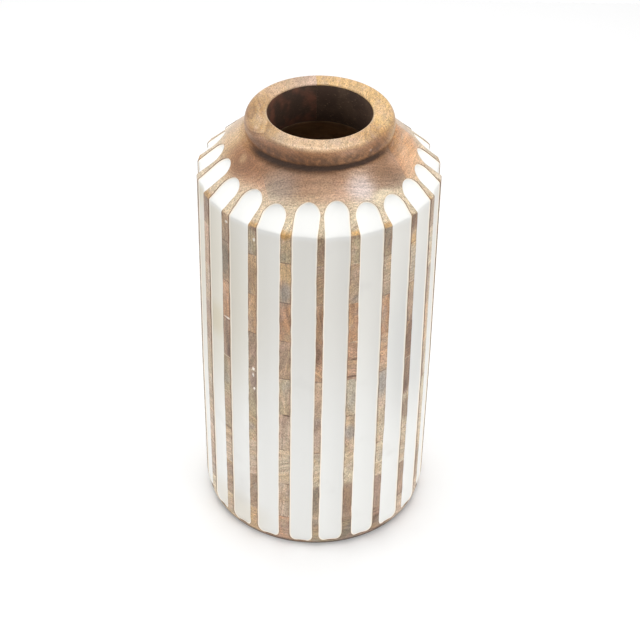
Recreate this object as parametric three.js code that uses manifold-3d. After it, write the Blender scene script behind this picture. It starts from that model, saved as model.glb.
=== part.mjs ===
// A turned wooden vase: courses of glued mango-wood blocks, with carved flutes that hold white enamel.
// Millimetres, +Z up. The origin is the centre of the foot, on the surface that the vase stands on.
// Azimuths are in degrees from the front, which is -Y, towards +X.
import * as THREE from "three";
import { mergeVertices } from "three/addons/utils/BufferGeometryUtils.js";
import Module from "manifold-3d";

// Turned outside, from the foot to the rim
const TOTAL_HEIGHT = 300;
const BODY_RADIUS = 77.5; // at the ribs, on the straight part of the wall
const TAPER_TOP = 118; // the wall draws in below this height
const TAPER = 1.2; // how far it draws in by the time it meets the rounded foot
const HEEL_HEIGHT = 15;
const HEEL_ROUND = 3.9; // how far the foot is rounded in, to the flat face that the vase stands on
const SHOULDER_DROP = 42; // from the top of the rim to the corner of the body
const RIM_RADIUS = 47;
const RIM_BEAD = 4.3; // radial half axis of the rolled edge
const RIM_HALF_HEIGHT = 7.6;
const NECK_TUCK = 1; // how far the shoulder runs in under the rim

// Turned inside
const MOUTH_RADIUS = 33;
const MOUTH_ROUND = 1.2;
const BORE_DEPTH = 28; // straight throat, from the top of the rim to its lower lip
const WALL = 13.5;
const FLOOR = 14;
const FLOOR_ROUND = 8;

// Courses of blocks, glued before turning. The body courses share the height between base and top.
const BASE_COURSE = 26;
const TOP_COURSE = 32.4;
const BODY_COURSES = 8;
const BLOCKS_PER_COURSE = 4;
const COURSE_STAGGER = 3; // flutes that each course is turned on from the one below
const BASE_JOINT = 24; // the base is two planks, and their joint lies this far to the left of the axis
const TOP_JOINTS = [-42, 52, 104, 184]; // azimuths of the joints in the top course
const GLUE_LINE = 0.2;

// Flutes and their enamel
const FLUTES = 22;
const FIRST_RIB = 1; // azimuth of the rib nearest to the front
const FLUTE_WIDTH = 15.5;
const FLUTE_DEPTH = 2.5; // from the circle of the ribs to the middle of the enamel
const FLUTE_SAGITTA = 1.4; // hollow of the enamel across its width
const FLUTE_FOOT = 4.6; // height of the lower end
const FLUTE_CORNER = 4; // how far in the lower corners are rounded
const FLUTE_CORNER_RISE = 7; // and how far up
const FLUTE_REACH = 20.2; // from the corner of the body up the shoulder to the tip
const FLUTE_ARCH = 9.5; // length of the rounded upper end
const ENAMEL_THICKNESS = 1;
const ENAMEL_BED = 0.3; // clearance between the enamel and the wood

// Fineness of the faceted surfaces
const SEGMENTS = FLUTES * 2;
const FLUTE_FACETS = 3;
const RIM_STEPS = 6;
const FOOT_STEPS = 3;
const ROUND_STEPS = 2;
const ARCH_ANGLES = [0, 40, 78]; // places round the upper end of a flute, in degrees

const FULL_TURN = 360;
const FLUTE_PITCH = FULL_TURN / FLUTES;
const HEEL_RADIUS = BODY_RADIUS - TAPER;
const FOOT_RADIUS = HEEL_RADIUS - HEEL_ROUND;
const SHOULDER_HEIGHT = TOTAL_HEIGHT - SHOULDER_DROP;
const NECK_RADIUS = RIM_RADIUS - NECK_TUCK;
const HOLLOW_RADIUS = BODY_RADIUS - WALL;
const COURSE_HEIGHT = (TOTAL_HEIGHT - BASE_COURSE - TOP_COURSE) / BODY_COURSES;
const CLEAR_OF_VASE = 3 * BODY_RADIUS; // how far a cutting wedge or plank reaches

// The shoulder is a straight slope from the body's corner to the crease on the rim's bead.
const RIM_CENTRE = new THREE.Vector2(RIM_RADIUS - RIM_BEAD, TOTAL_HEIGHT - RIM_HALF_HEIGHT);
const CREASE_ANGLE = -Math.acos((NECK_RADIUS - RIM_CENTRE.x) / RIM_BEAD);
const CREASE = rimPoint(CREASE_ANGLE);
const SHOULDER_CORNER = new THREE.Vector2(BODY_RADIUS, SHOULDER_HEIGHT);
const SHOULDER_RUN = CREASE.clone().sub(SHOULDER_CORNER).normalize();
const SHOULDER_NORMAL = new THREE.Vector2(SHOULDER_RUN.y, -SHOULDER_RUN.x);

const wasm = await Module();
wasm.setup();

const wood = new THREE.MeshStandardMaterial({ color: 0xb3916c, roughness: 0.55, metalness: 0 });
const rimWood = new THREE.MeshStandardMaterial({ color: 0xb98f60, roughness: 0.5, metalness: 0 });
const enamel = new THREE.MeshStandardMaterial({ color: 0xe9e6df, roughness: 0.3, metalness: 0 });

function rimPoint(angle) {
  return new THREE.Vector2(RIM_BEAD * Math.cos(angle), RIM_HALF_HEIGHT * Math.sin(angle)).add(RIM_CENTRE);
}

// Points of an elliptical arc about a centre, from one angle to another, both ends included.
function arc(centre, radiusR, radiusZ, from, to, steps) {
  return Array.from({ length: steps + 1 }, (_, i) => {
    const angle = from + ((to - from) * i) / steps;
    return new THREE.Vector2(
      centre.x + radiusR * Math.cos(angle),
      centre.y + radiusZ * Math.sin(angle),
    );
  });
}

// Radius of the turned outside at a height below the shoulder.
function wallRadius(z) {
  if (z >= TAPER_TOP) return BODY_RADIUS;
  if (z >= HEEL_HEIGHT) return BODY_RADIUS - (TAPER * (TAPER_TOP - z)) / (TAPER_TOP - HEEL_HEIGHT);
  const drop = (HEEL_HEIGHT - z) / HEEL_HEIGHT;
  return FOOT_RADIUS + HEEL_ROUND * (1 - drop * drop);
}

// Section of the whole turned vase, from the axis under the foot round to the axis on the inner floor.
function turnedProfile() {
  const quarter = Math.PI / 2;
  const throat = TOTAL_HEIGHT - BORE_DEPTH;
  const ceilingFall = (SHOULDER_RUN.y / -SHOULDER_RUN.x) * (HOLLOW_RADIUS - MOUTH_RADIUS);
  const heel = Array.from({ length: FOOT_STEPS + 1 }, (_, i) => (HEEL_HEIGHT * i) / FOOT_STEPS);
  const mouth = new THREE.Vector2(MOUTH_RADIUS + MOUTH_ROUND, TOTAL_HEIGHT - MOUTH_ROUND);
  const cornerHeight = FLOOR + FLOOR_ROUND;
  const corner = new THREE.Vector2(wallRadius(cornerHeight) - WALL - FLOOR_ROUND, cornerHeight);
  return [
    new THREE.Vector2(0, 0),
    ...heel.map((z) => new THREE.Vector2(wallRadius(z), z)),
    new THREE.Vector2(BODY_RADIUS, TAPER_TOP),
    SHOULDER_CORNER,
    ...arc(RIM_CENTRE, RIM_BEAD, RIM_HALF_HEIGHT, CREASE_ANGLE, quarter, RIM_STEPS),
    ...arc(mouth, MOUTH_ROUND, MOUTH_ROUND, quarter, 2 * quarter, ROUND_STEPS),
    new THREE.Vector2(MOUTH_RADIUS, throat),
    new THREE.Vector2(HOLLOW_RADIUS, throat - ceilingFall),
    new THREE.Vector2(HOLLOW_RADIUS, TAPER_TOP),
    ...arc(corner, FLOOR_ROUND, FLOOR_ROUND, 0, -quarter, ROUND_STEPS),
    new THREE.Vector2(0, FLOOR),
  ];
}

// A closed three.js geometry as a solid that can be cut.
function solid(geometry) {
  const bare = geometry.clone();
  bare.deleteAttribute("normal");
  bare.deleteAttribute("uv");
  const merged = mergeVertices(bare);
  return new wasm.Manifold(
    new wasm.Mesh({
      numProp: 3,
      vertProperties: merged.attributes.position.array,
      triVerts: new Uint32Array(merged.index.array),
    }),
  );
}

// A cut solid as a three.js mesh.
function mesh(cut, material, name) {
  const data = cut.getMesh();
  const geometry = new THREE.BufferGeometry();
  geometry.setAttribute("position", new THREE.BufferAttribute(data.vertProperties, 3));
  geometry.setIndex(new THREE.BufferAttribute(data.triVerts, 1));
  geometry.computeVertexNormals();
  return named(new THREE.Mesh(geometry, material), name);
}

function named(object, name) {
  object.name = name;
  return object;
}

function turnedBody() {
  const start = THREE.MathUtils.degToRad(FIRST_RIB);
  const lathe = new THREE.LatheGeometry(turnedProfile(), SEGMENTS, start);
  return solid(lathe.rotateX(Math.PI / 2));
}

// Places along one flute, from its lower end to its tip. Each has a point of the vase's outline, the
// direction that depth is measured against, the half width there and how much of the full depth it has.
function fluteStations(grow) {
  const half = FLUTE_WIDTH / 2;
  const outward = new THREE.Vector2(1, 0);
  const lowerCorner = arc(
    new THREE.Vector2(half - FLUTE_CORNER, FLUTE_FOOT + FLUTE_CORNER_RISE),
    FLUTE_CORNER + grow,
    FLUTE_CORNER_RISE + grow,
    -Math.PI / 2,
    0,
    ROUND_STEPS,
  );
  const wall = [
    ...lowerCorner.map((p) => ({ z: p.y, halfWidth: p.x })),
    ...[HEEL_HEIGHT, TAPER_TOP].map((z) => ({ z, halfWidth: half + grow })),
  ].map(({ z, halfWidth }) => ({
    point: new THREE.Vector2(wallRadius(z), z),
    normal: outward,
    halfWidth,
    fullness: 1,
  }));

  const mitre = outward.clone().add(SHOULDER_NORMAL).normalize();
  mitre.divideScalar(mitre.dot(outward));
  const edge = { point: SHOULDER_CORNER, normal: mitre, halfWidth: half + grow, fullness: 1 };

  const arch = ARCH_ANGLES.map(THREE.MathUtils.degToRad).map((angle) => ({
    point: SHOULDER_RUN.clone()
      .multiplyScalar(FLUTE_REACH - FLUTE_ARCH + (FLUTE_ARCH + grow) * Math.sin(angle))
      .add(SHOULDER_CORNER),
    normal: SHOULDER_NORMAL,
    halfWidth: (half + grow) * Math.cos(angle),
    fullness: Math.cos(angle),
  }));
  return [...wall, edge, ...arch];
}

// Depth of the enamel's face under the middle line of the flute, at a share of the half width.
function faceDepth(share, fullness) {
  return (FLUTE_DEPTH - FLUTE_SAGITTA * share * share) * fullness;
}

// A closed strip at the front azimuth that follows a flute between two depths.
function fluteStrip(grow, frontDepth, backDepth) {
  const stations = fluteStations(grow);
  const across = FLUTE_FACETS + 1;
  const layer = (depthAt) =>
    stations.flatMap(({ point, normal, halfWidth, fullness }) =>
      Array.from({ length: across }, (_, i) => {
        const share = (2 * i) / FLUTE_FACETS - 1;
        const at = point.clone().addScaledVector(normal, -depthAt(share, fullness));
        return [share * halfWidth, -at.x, at.y];
      }),
    );
  const points = [...layer(frontDepth), ...layer(backDepth)];
  const back = stations.length * across;
  const faces = [];
  const quad = (a, b, c, d) => faces.push(a, b, c, a, c, d);
  for (let row = 0; row < stations.length - 1; row++) {
    const low = row * across;
    const high = low + across;
    for (let i = 0; i < FLUTE_FACETS; i++) {
      quad(low + i, low + i + 1, high + i + 1, high + i);
      quad(back + low + i, back + high + i, back + high + i + 1, back + low + i + 1);
    }
    const end = FLUTE_FACETS;
    quad(low, high, back + high, back + low);
    quad(low + end, back + low + end, back + high + end, high + end);
  }
  const last = back - across;
  for (let i = 0; i < FLUTE_FACETS; i++) {
    quad(i, back + i, back + i + 1, i + 1);
    quad(last + i, last + i + 1, back + last + i + 1, back + last + i);
  }
  const strip = new THREE.BufferGeometry();
  strip.setAttribute("position", new THREE.Float32BufferAttribute(points.flat(), 3));
  strip.setIndex(faces);
  strip.computeVertexNormals();
  return strip;
}

function enamelStrip() {
  return fluteStrip(0, faceDepth, (share, fullness) => faceDepth(share, fullness) + ENAMEL_THICKNESS);
}

// What the gouge takes out of the wood for one flute: the enamel and its bed, and the air in front.
function fluteCutter() {
  const bed = ENAMEL_THICKNESS + ENAMEL_BED;
  const bottom = (share, fullness) => faceDepth(share, fullness) + bed;
  return fluteStrip(ENAMEL_BED, () => -FLUTE_DEPTH, bottom);
}

// Azimuth of the middle of a flute. Flute 0 is the first one to the right of the first rib.
function fluteAzimuth(index) {
  return FIRST_RIB + FLUTE_PITCH * (index + 0.5);
}

function carve(body) {
  const cutter = fluteCutter();
  let carved = body;
  for (let i = 0; i < FLUTES; i++) {
    const turn = THREE.MathUtils.degToRad(fluteAzimuth(i));
    carved = carved.subtract(solid(cutter.clone().rotateZ(turn)));
  }
  return carved;
}

// A solid wedge about the axis between two azimuths, with half a glue line taken off each joint face.
function wedge(from, to, bottom, top) {
  const middle = THREE.MathUtils.degToRad((from + to) / 2);
  const half = THREE.MathUtils.degToRad((to - from) / 2);
  const towards = (a, reach) => new THREE.Vector2(reach * Math.sin(a), -reach * Math.cos(a));
  const apex = towards(middle, GLUE_LINE / 2 / Math.sin(half));
  const rays = [middle - half, middle, middle + half].map((a) => towards(a, CLEAR_OF_VASE).add(apex));
  return prism([apex, ...rays], bottom, top);
}

function prism(outline, bottom, top) {
  const depth = top - bottom;
  const block = new THREE.ExtrudeGeometry(new THREE.Shape(outline), { depth, bevelEnabled: false });
  return solid(block.translate(0, 0, bottom));
}

// The base: two planks glued edge to edge, running from front to back.
function basePlanks(body) {
  const group = named(new THREE.Group(), "base");
  const plank = (low, high, name) => {
    const corners = [
      [low, -CLEAR_OF_VASE],
      [high, -CLEAR_OF_VASE],
      [high, CLEAR_OF_VASE],
      [low, CLEAR_OF_VASE],
    ];
    const outline = corners.map(([x, y]) => new THREE.Vector2(x, y));
    const cut = body.intersect(prism(outline, -CLEAR_OF_VASE, BASE_COURSE - GLUE_LINE / 2));
    group.add(mesh(cut, wood, name));
  };
  plank(-CLEAR_OF_VASE, -BASE_JOINT - GLUE_LINE / 2, "base_plank_left");
  plank(-BASE_JOINT + GLUE_LINE / 2, CLEAR_OF_VASE, "base_plank_right");
  return group;
}

// One ring of blocks. The joints lie behind flutes, so that each rib is a single piece of wood.
function bodyCourse(body, course) {
  const group = named(new THREE.Group(), `course_${course}`);
  const bottom = BASE_COURSE + (course - 1) * COURSE_HEIGHT + GLUE_LINE / 2;
  const top = BASE_COURSE + course * COURSE_HEIGHT - GLUE_LINE / 2;
  const firstFlute = course * COURSE_STAGGER;
  const joint = (block) => fluteAzimuth(firstFlute + Math.round((block * FLUTES) / BLOCKS_PER_COURSE));
  for (let block = 0; block < BLOCKS_PER_COURSE; block++) {
    const cut = body.intersect(wedge(joint(block), joint(block + 1), bottom, top));
    group.add(mesh(cut, wood, `course_${course}_block_${block + 1}`));
  }
  return group;
}

// The top course: neck, rim and throat in one ring of blocks.
function topCourse(body) {
  const group = named(new THREE.Group(), "top_course");
  const bottom = TOTAL_HEIGHT - TOP_COURSE + GLUE_LINE / 2;
  TOP_JOINTS.forEach((from, i) => {
    const to = TOP_JOINTS[i + 1] ?? TOP_JOINTS[0] + FULL_TURN;
    const cut = body.intersect(wedge(from, to, bottom, TOTAL_HEIGHT + CLEAR_OF_VASE));
    group.add(mesh(cut, rimWood, `rim_block_${i + 1}`));
  });
  return group;
}

function enamelFlutes() {
  const group = named(new THREE.Group(), "enamel");
  for (let i = 0; i < FLUTES; i++) {
    const number = String(i + 1).padStart(2, "0");
    const strip = named(new THREE.Mesh(enamelStrip(), enamel), `enamel_flute_${number}`);
    strip.rotation.z = THREE.MathUtils.degToRad(fluteAzimuth(i));
    group.add(strip);
  }
  return group;
}

const vase = named(new THREE.Group(), "vase");
const body = carve(turnedBody());
vase.add(basePlanks(body));
for (let course = 1; course <= BODY_COURSES; course++) vase.add(bodyCourse(body, course));
vase.add(topCourse(body));
vase.add(enamelFlutes());

export default vase;
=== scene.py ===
"""A turned vase of glued mango-wood blocks, its carved flutes filled with white enamel.

Lengths are in millimetres until they reach a mesh, and repeat the named sizes of the part's
source. Azimuths are in degrees from the front, which is -Y, towards +X.
"""

import math
import random
from collections import namedtuple
from functools import partial

import bpy
from mathutils import Matrix, Vector, kdtree, noise

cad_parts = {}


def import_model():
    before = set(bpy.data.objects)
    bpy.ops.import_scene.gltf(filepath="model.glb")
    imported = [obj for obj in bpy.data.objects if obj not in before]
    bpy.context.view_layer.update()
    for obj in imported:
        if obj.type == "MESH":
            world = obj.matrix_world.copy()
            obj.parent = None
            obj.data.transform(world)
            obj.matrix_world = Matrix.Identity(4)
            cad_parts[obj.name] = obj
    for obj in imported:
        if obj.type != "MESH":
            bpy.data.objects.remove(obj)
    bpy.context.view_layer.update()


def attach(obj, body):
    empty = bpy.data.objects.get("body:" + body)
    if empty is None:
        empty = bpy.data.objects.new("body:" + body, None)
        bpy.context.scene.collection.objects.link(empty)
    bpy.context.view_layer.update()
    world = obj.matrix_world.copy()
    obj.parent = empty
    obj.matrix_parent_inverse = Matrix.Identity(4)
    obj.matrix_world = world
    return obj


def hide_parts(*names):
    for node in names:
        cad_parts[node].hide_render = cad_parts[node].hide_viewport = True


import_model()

MM = 0.001

# Turned outside
TOTAL_HEIGHT = 300
BODY_RADIUS = 77.5
TAPER_TOP = 118
TAPER = 1.2
HEEL_HEIGHT = 15
HEEL_ROUND = 3.9
FOOT_EASE = 1.5  # sanded edge of the foot
SHOULDER_DROP = 42
RIM_RADIUS = 47
RIM_BEAD = 4.3
RIM_HALF_HEIGHT = 7.6
NECK_TUCK = 1
FOOT_RADIUS = BODY_RADIUS - TAPER - HEEL_ROUND
SHOULDER_HEIGHT = TOTAL_HEIGHT - SHOULDER_DROP
NECK_RADIUS = RIM_RADIUS - NECK_TUCK

# Turned inside
MOUTH_RADIUS = 33
MOUTH_ROUND = 1.2
BORE_DEPTH = 28
WALL = 13.5
FLOOR = 14
FLOOR_ROUND = 8
HOLLOW_RADIUS = BODY_RADIUS - WALL
THROAT_END = TOTAL_HEIGHT - BORE_DEPTH

# Courses of blocks
BASE_COURSE = 26
TOP_COURSE = 32.4
BODY_COURSES = 8
JOINT_FLUTES = (0, 6, 11, 17, 22)  # flutes that the joints between a course's blocks lie in
COURSE_STAGGER = 3
BASE_JOINT = 24
COURSE_HEIGHT = (TOTAL_HEIGHT - BASE_COURSE - TOP_COURSE) / BODY_COURSES
TOP_COURSE_FOOT = TOTAL_HEIGHT - TOP_COURSE
RIM_SPLIT = 287.9  # under the rim, where the top course's board changes from shoulder to rim
GLUE_GAP = 0.02  # hairline between two blocks
HALF_GAP = GLUE_GAP / 2
RIM_LEFT, RIM_RIGHT, SIDE_JOINT, BACK_JOINT = -42, 52, 104, 184  # azimuths of the rim's joints
SHOULDER_LEFT, SHOULDER_RIGHT = 288, 72  # and of those at the ends of the shoulder's front
LEFT_CHORD = (-72, 45.9)  # azimuth that a chord is square to, and its distance from the axis
RIGHT_CHORD = (134.5, 16)
SAW_WIDTH = 300
SAW_CLEAR = 5  # how far the saw reaches past the foot and the rim

# Flutes and enamel
FLUTES = 22
FIRST_RIB = 1  # azimuth
FLUTE_WIDTH = 15.5
FLUTE_FOOT = 4.6
FLUTE_CORNER = 4
FLUTE_CORNER_RISE = 7
FLUTE_REACH = 20.2
FLUTE_ARCH = 9.5
ENAMEL_THICKNESS = 1
FLUTE_PITCH = 360 / FLUTES
WALL_STEP = 0.85  # the enamel's edge lies this far under the face of the rib on the wall
TIP_STEP = 0.5  # and on the shoulder
BRUSHED_HOLLOW = 1.95  # the enamel's face sinks this far from its edges to its middle
ENAMEL_LIP = 0.35  # how far brushed enamel creeps up the side of the rib
ENAMEL_LIP_WIDTH = 0.9
WALL_SHARE = 0.84  # depth on the wall against depth on the shoulder
FOOT_FADE = 13  # the gouge comes out of the wood over this height
FOOT_OPENNESS = 0.12  # and leaves this share of its hollow at the lower end
GOUGE_SLOPE = 0.3  # lean of the carved side walls
CUTTER_CLEAR = 2.5  # how far the cutting shape stands proud of the vase

# How finely the pieces are drawn
FACETS = 12 * FLUTES
SHOULDER_STEPS = 12
ROLL_STEPS = 30
WALL_ROWS = 80  # rows of a flute between its lower corners and the shoulder's corner
ENAMEL_COLUMNS = 16
CUTTER_COLUMNS = 6
EDGE_SPACING = 0.33  # between the points from which the distance to a flute's edge is taken
SMOOTH_ANGLE = 32

workshop = random.Random(22)

# What the hand work changed on single flutes, counted from the first one right of the first rib:
# shift of the middle at the foot, at the corner and at the tip, added width, added reach up the
# shoulder, and added height of the lower end.
HandCut = namedtuple("HandCut", "foot_shift corner_shift tip_shift width reach foot")
FRONT_CUTS = {
    16: (0.4, 0.4, 1.7, 0.3, 4.3, -0.1),
    17: (-1.2, 0, 3, -0.3, 5.8, 0),
    18: (-0.85, 1, 2.6, -0.1, 1.4, 1.6),
    19: (-0.6, 1, 3.1, 0, 2.1, 0.6),
    20: (-0.65, 0.85, 1.7, 0.1, -2, -0.3),
    21: (1.05, 1.6, 2.3, 0, 1.7, -0.9),
    0: (-0.6, -0.2, 0.9, 0.1, 2.5, 0.2),
    1: (0.4, -0.25, 0.4, 0.55, -1, 0.7),
    2: (0.55, -0.4, -0.4, 0.4, -1.7, 1.6),
    3: (0.9, -0.9, -1, 0.9, 0.5, 2.2),
    4: (1.15, -1.1, -1.6, 0.2, 1, 0.3),
    5: (-0.1, -0.2, -2.4, 0.1, 2.3, 0.3),
}
hand_cuts = []
for index in range(FLUTES):
    slip = workshop.uniform(-0.4, 0.4)
    limits = ((-0.4, 0.4), (-0.8, 0.8), (0, 0.5), (-0.8, 1.2), (-0.2, 0.7))
    twist, *others = [workshop.uniform(low, high) for low, high in limits]
    hand_cuts.append(HandCut(*FRONT_CUTS.get(index, (slip + twist, slip, *others))))


# Places on the vase

UP = Vector((0, 0, 1))


def outward(azimuth):
    turn = math.radians(azimuth)
    return Vector((math.sin(turn), -math.cos(turn), 0))


def rightward(azimuth):
    turn = math.radians(azimuth)
    return Vector((math.cos(turn), math.sin(turn), 0))


def spot(azimuth, radius, height):
    return outward(azimuth) * radius + UP * height


def ellipse(centre, half_r, half_z, degrees):
    turn = math.radians(degrees)
    return Vector((centre[0] + half_r * math.cos(turn), centre[1] + half_z * math.sin(turn)))


RIM_CENTRE = Vector((RIM_RADIUS - RIM_BEAD, TOTAL_HEIGHT - RIM_HALF_HEIGHT))
CREASE_ANGLE = -math.degrees(math.acos((NECK_RADIUS - RIM_CENTRE.x) / RIM_BEAD))
CREASE = ellipse(RIM_CENTRE, RIM_BEAD, RIM_HALF_HEIGHT, CREASE_ANGLE)
SHOULDER_CORNER = Vector((BODY_RADIUS, SHOULDER_HEIGHT))
SHOULDER_RUN = (CREASE - SHOULDER_CORNER).normalized()
SHOULDER_NORMAL = Vector((SHOULDER_RUN.y, -SHOULDER_RUN.x))
SHOULDER_SLOPE = SHOULDER_RUN.y / -SHOULDER_RUN.x


def on_shoulder(azimuth, radius):
    return spot(azimuth, radius, SHOULDER_HEIGHT + (BODY_RADIUS - radius) * SHOULDER_SLOPE)


def on_wall(azimuth, height):
    return spot(azimuth, wall_radius(height), height)


def wall_radius(z):
    if z >= TAPER_TOP:
        return BODY_RADIUS
    if z >= HEEL_HEIGHT:
        return BODY_RADIUS - TAPER * (TAPER_TOP - z) / (TAPER_TOP - HEEL_HEIGHT)
    drop = (HEEL_HEIGHT - z) / HEEL_HEIGHT
    return FOOT_RADIUS + HEEL_ROUND * (1 - drop * drop)


# Wood and enamel


def srgb(hex_colour):
    channels = [int(hex_colour[i : i + 2], 16) / 255 for i in (1, 3, 5)]
    linear = [c / 12.92 if c <= 0.04045 else ((c + 0.055) / 1.055) ** 2.4 for c in channels]
    return (*linear, 1.0)


def connect(node, inputs):
    """Links a node's inputs to outputs, or sets them to plain values."""
    for name, value in inputs.items():
        if isinstance(value, bpy.types.NodeSocket):
            node.id_data.links.new(value, node.inputs[name])
        else:
            node.inputs[name].default_value = value


def add_node(tree, kind, inputs=None, output=0, **settings):
    """Adds a node with its settings, connects its inputs, and gives one of its outputs."""
    node = tree.nodes.new("ShaderNode" + kind)
    for name, value in settings.items():
        setattr(node, name, value)
    connect(node, inputs or {})
    return node.outputs[output] if node.outputs else None


def new_material(name):
    """A material, the function that adds nodes to it, and its shader."""
    material = bpy.data.materials.new(name)
    material.use_nodes = True
    tree = material.node_tree
    return material, partial(add_node, tree), tree.nodes["Principled BSDF"]


# Colours of sanded mango wood: sapwood is cream to sand, heartwood tan to brown with rose and
# honey in it, and spalting turns it grey.
CREAM_SAP = srgb("#D8C8AC")
SAND = srgb("#C9B29B")
HONEY = srgb("#CBAA80")
GOLD = srgb("#D3AC72")
AMBER = srgb("#BC9050")
ROSE_TAN = srgb("#C2A08C")
RUST_TAN = srgb("#C49A7C")
PALE_ORANGE = srgb("#D9B28C")
OLIVE_TAN = srgb("#AF9E80")
BROWN_TAN = srgb("#A68C74")
MAUVE_BROWN = srgb("#987F74")
SPALT_GREY = srgb("#94908A")
GREY_BROWN = srgb("#776B5B")
COPPER_TAN = srgb("#BA8F6C")
HEART_BROWN = srgb("#7A5D47")
KNOT_BROWN = srgb("#5E4031")
# A brown stain; under the rim's roll it is also painted shade.
STAIN_AND_SHADE = srgb("#8C5C36")
# Dark wax and dust; in the crease under the rim and at the foot, also painted shade.
DIRT_AND_SHADE = srgb("#37261B")
# Pale pink-grey for a painted highlight.
PAINTED_HIGHLIGHT_PINK = srgb("#D9CBC6")
PUTTY = srgb("#E0D0B4")
# Pale grey for painted sheen at the outline.
PAINTED_SHEEN_GREY = srgb("#DAD6CE")
# White of chips, and of painted glints on the rim.
CHIP_AND_GLINT_WHITE = srgb("#F4EEE4")
WOOD_IOR = 1.45
ENAMEL_IOR = 1.5

# Figure that stands out on single ribs: azimuth, height, half its width and height, colour, share
# of the colour, and blur of its edge.
RIB_FIGURE = [
    (51, 162, 5.5, 16, KNOT_BROWN, 0.8, 0.5),
    (50, 134, 4.5, 15, HEART_BROWN, 0.8, 0.5),
    (49, 123, 2.5, 5, KNOT_BROWN, 0.7, 0.6),
    (50.5, 103, 4.5, 10, HEART_BROWN, 0.7, 0.5),
    (-48.5, 224, 5.5, 14, GREY_BROWN, 0.9, 0.5),
    (-48, 163, 3.5, 14, HEART_BROWN, 0.6, 0.6),
    (-46, 150, 2.5, 5, KNOT_BROWN, 0.7, 0.6),
    (-31.5, 222, 3, 12, HEART_BROWN, 0.5, 0.7),
    (-31, 139, 3.2, 9, MAUVE_BROWN, 0.8, 0.5),
    (-15, 213, 4.5, 7, SPALT_GREY, 0.65, 0.7),
    (-15.4, 230, 4.5, 6, HONEY, 0.6, 0.7),
    (0.5, 168, 2.6, 8, KNOT_BROWN, 0.7, 0.5),
    (1, 249, 4, 10, HEART_BROWN, 0.5, 0.6),
    (1, 221, 4, 13, HEART_BROWN, 0.3, 0.6),
    (1, 190, 4, 14, HEART_BROWN, 0.4, 0.5),
    (1, 102, 4, 14, MAUVE_BROWN, 0.5, 0.6),
    (-4, 132, 13, 16, ROSE_TAN, 0.6, 0.4),
    (1, 132, 4.5, 14, BROWN_TAN, 0.6, 0.5),
    (1, 43, 4.5, 13, GREY_BROWN, 0.75, 0.5),
    (17.4, 135, 5, 14, SPALT_GREY, 0.35, 0.6),
    (17.4, 102, 5, 6, SPALT_GREY, 0.6, 0.5),
    (18.5, 163, 3.2, 0.7, KNOT_BROWN, 0.8, 0.6),
    (17.4, 149.2, 4.2, 0.8, KNOT_BROWN, 0.8, 0.5),
    (17, 42, 5.5, 15, HEART_BROWN, 0.6, 0.5),
    (33, 248, 4.5, 8, HEART_BROWN, 0.5, 0.7),
    (33.5, 137, 4.5, 11, SPALT_GREY, 0.8, 0.6),
    (34, 44, 5, 14, MAUVE_BROWN, 0.6, 0.5),
    (50, 253, 4.5, 5, HEART_BROWN, 0.75, 0.5),
    (50, 240, 3, 5, GOLD, 0.6, 0.7),
    (-13.5, 116.6, 3, 0.7, KNOT_BROWN, 0.85, 0.5),
    (-48, 86, 3.5, 1, HEART_BROWN, 0.7, 0.5),
    (-64.5, 250, 4, 9, HEART_BROWN, 0.6, 0.6),
    (-64.5, 218, 4.5, 10, BROWN_TAN, 0.6, 0.6),
    (-64.5, 150, 4.5, 26, BROWN_TAN, 0.45, 0.6),
    (-48, 102, 4.5, 13, BROWN_TAN, 0.6, 0.5),
    (50.5, 72, 4.5, 12, BROWN_TAN, 0.3, 0.5),
    (-15.4, 257.5, 4.5, 2.6, AMBER, 0.8, 0.6),
    (69.5, 140, 3.6, 125, CREAM_SAP, 0.65, 0.3),
    # The ribs at the outline on either side are paler: painted sheen at a grazing angle.
    (82.5, 140, 6, 125, PAINTED_SHEEN_GREY, 0.6, 0.3),
    (-81.5, 140, 6, 125, PAINTED_SHEEN_GREY, 0.6, 0.3),
    (-46, 178.5, 4, 0.7, CHIP_AND_GLINT_WHITE, 0.75, 0.5),
    (-44.8, 152.5, 0.8, 1.4, CHIP_AND_GLINT_WHITE, 0.9, 0.4),
    (-31, 148, 0.9, 1.3, CHIP_AND_GLINT_WHITE, 0.9, 0.4),
    (-31, 143, 0.6, 1.6, CHIP_AND_GLINT_WHITE, 0.8, 0.4),
    (-30.5, 132, 0.7, 1.2, CHIP_AND_GLINT_WHITE, 0.9, 0.4),
    (-30, 249, 0.8, 1.2, CHIP_AND_GLINT_WHITE, 0.9, 0.4),
    (-46.5, 252.5, 1.2, 0.9, CHIP_AND_GLINT_WHITE, 0.8, 0.4),
    (52, 86.5, 1.2, 0.8, CHIP_AND_GLINT_WHITE, 0.8, 0.4),
]
RIB_MARKS = [(on_wall(azimuth, height), *mark) for azimuth, height, *mark in RIB_FIGURE]

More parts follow.
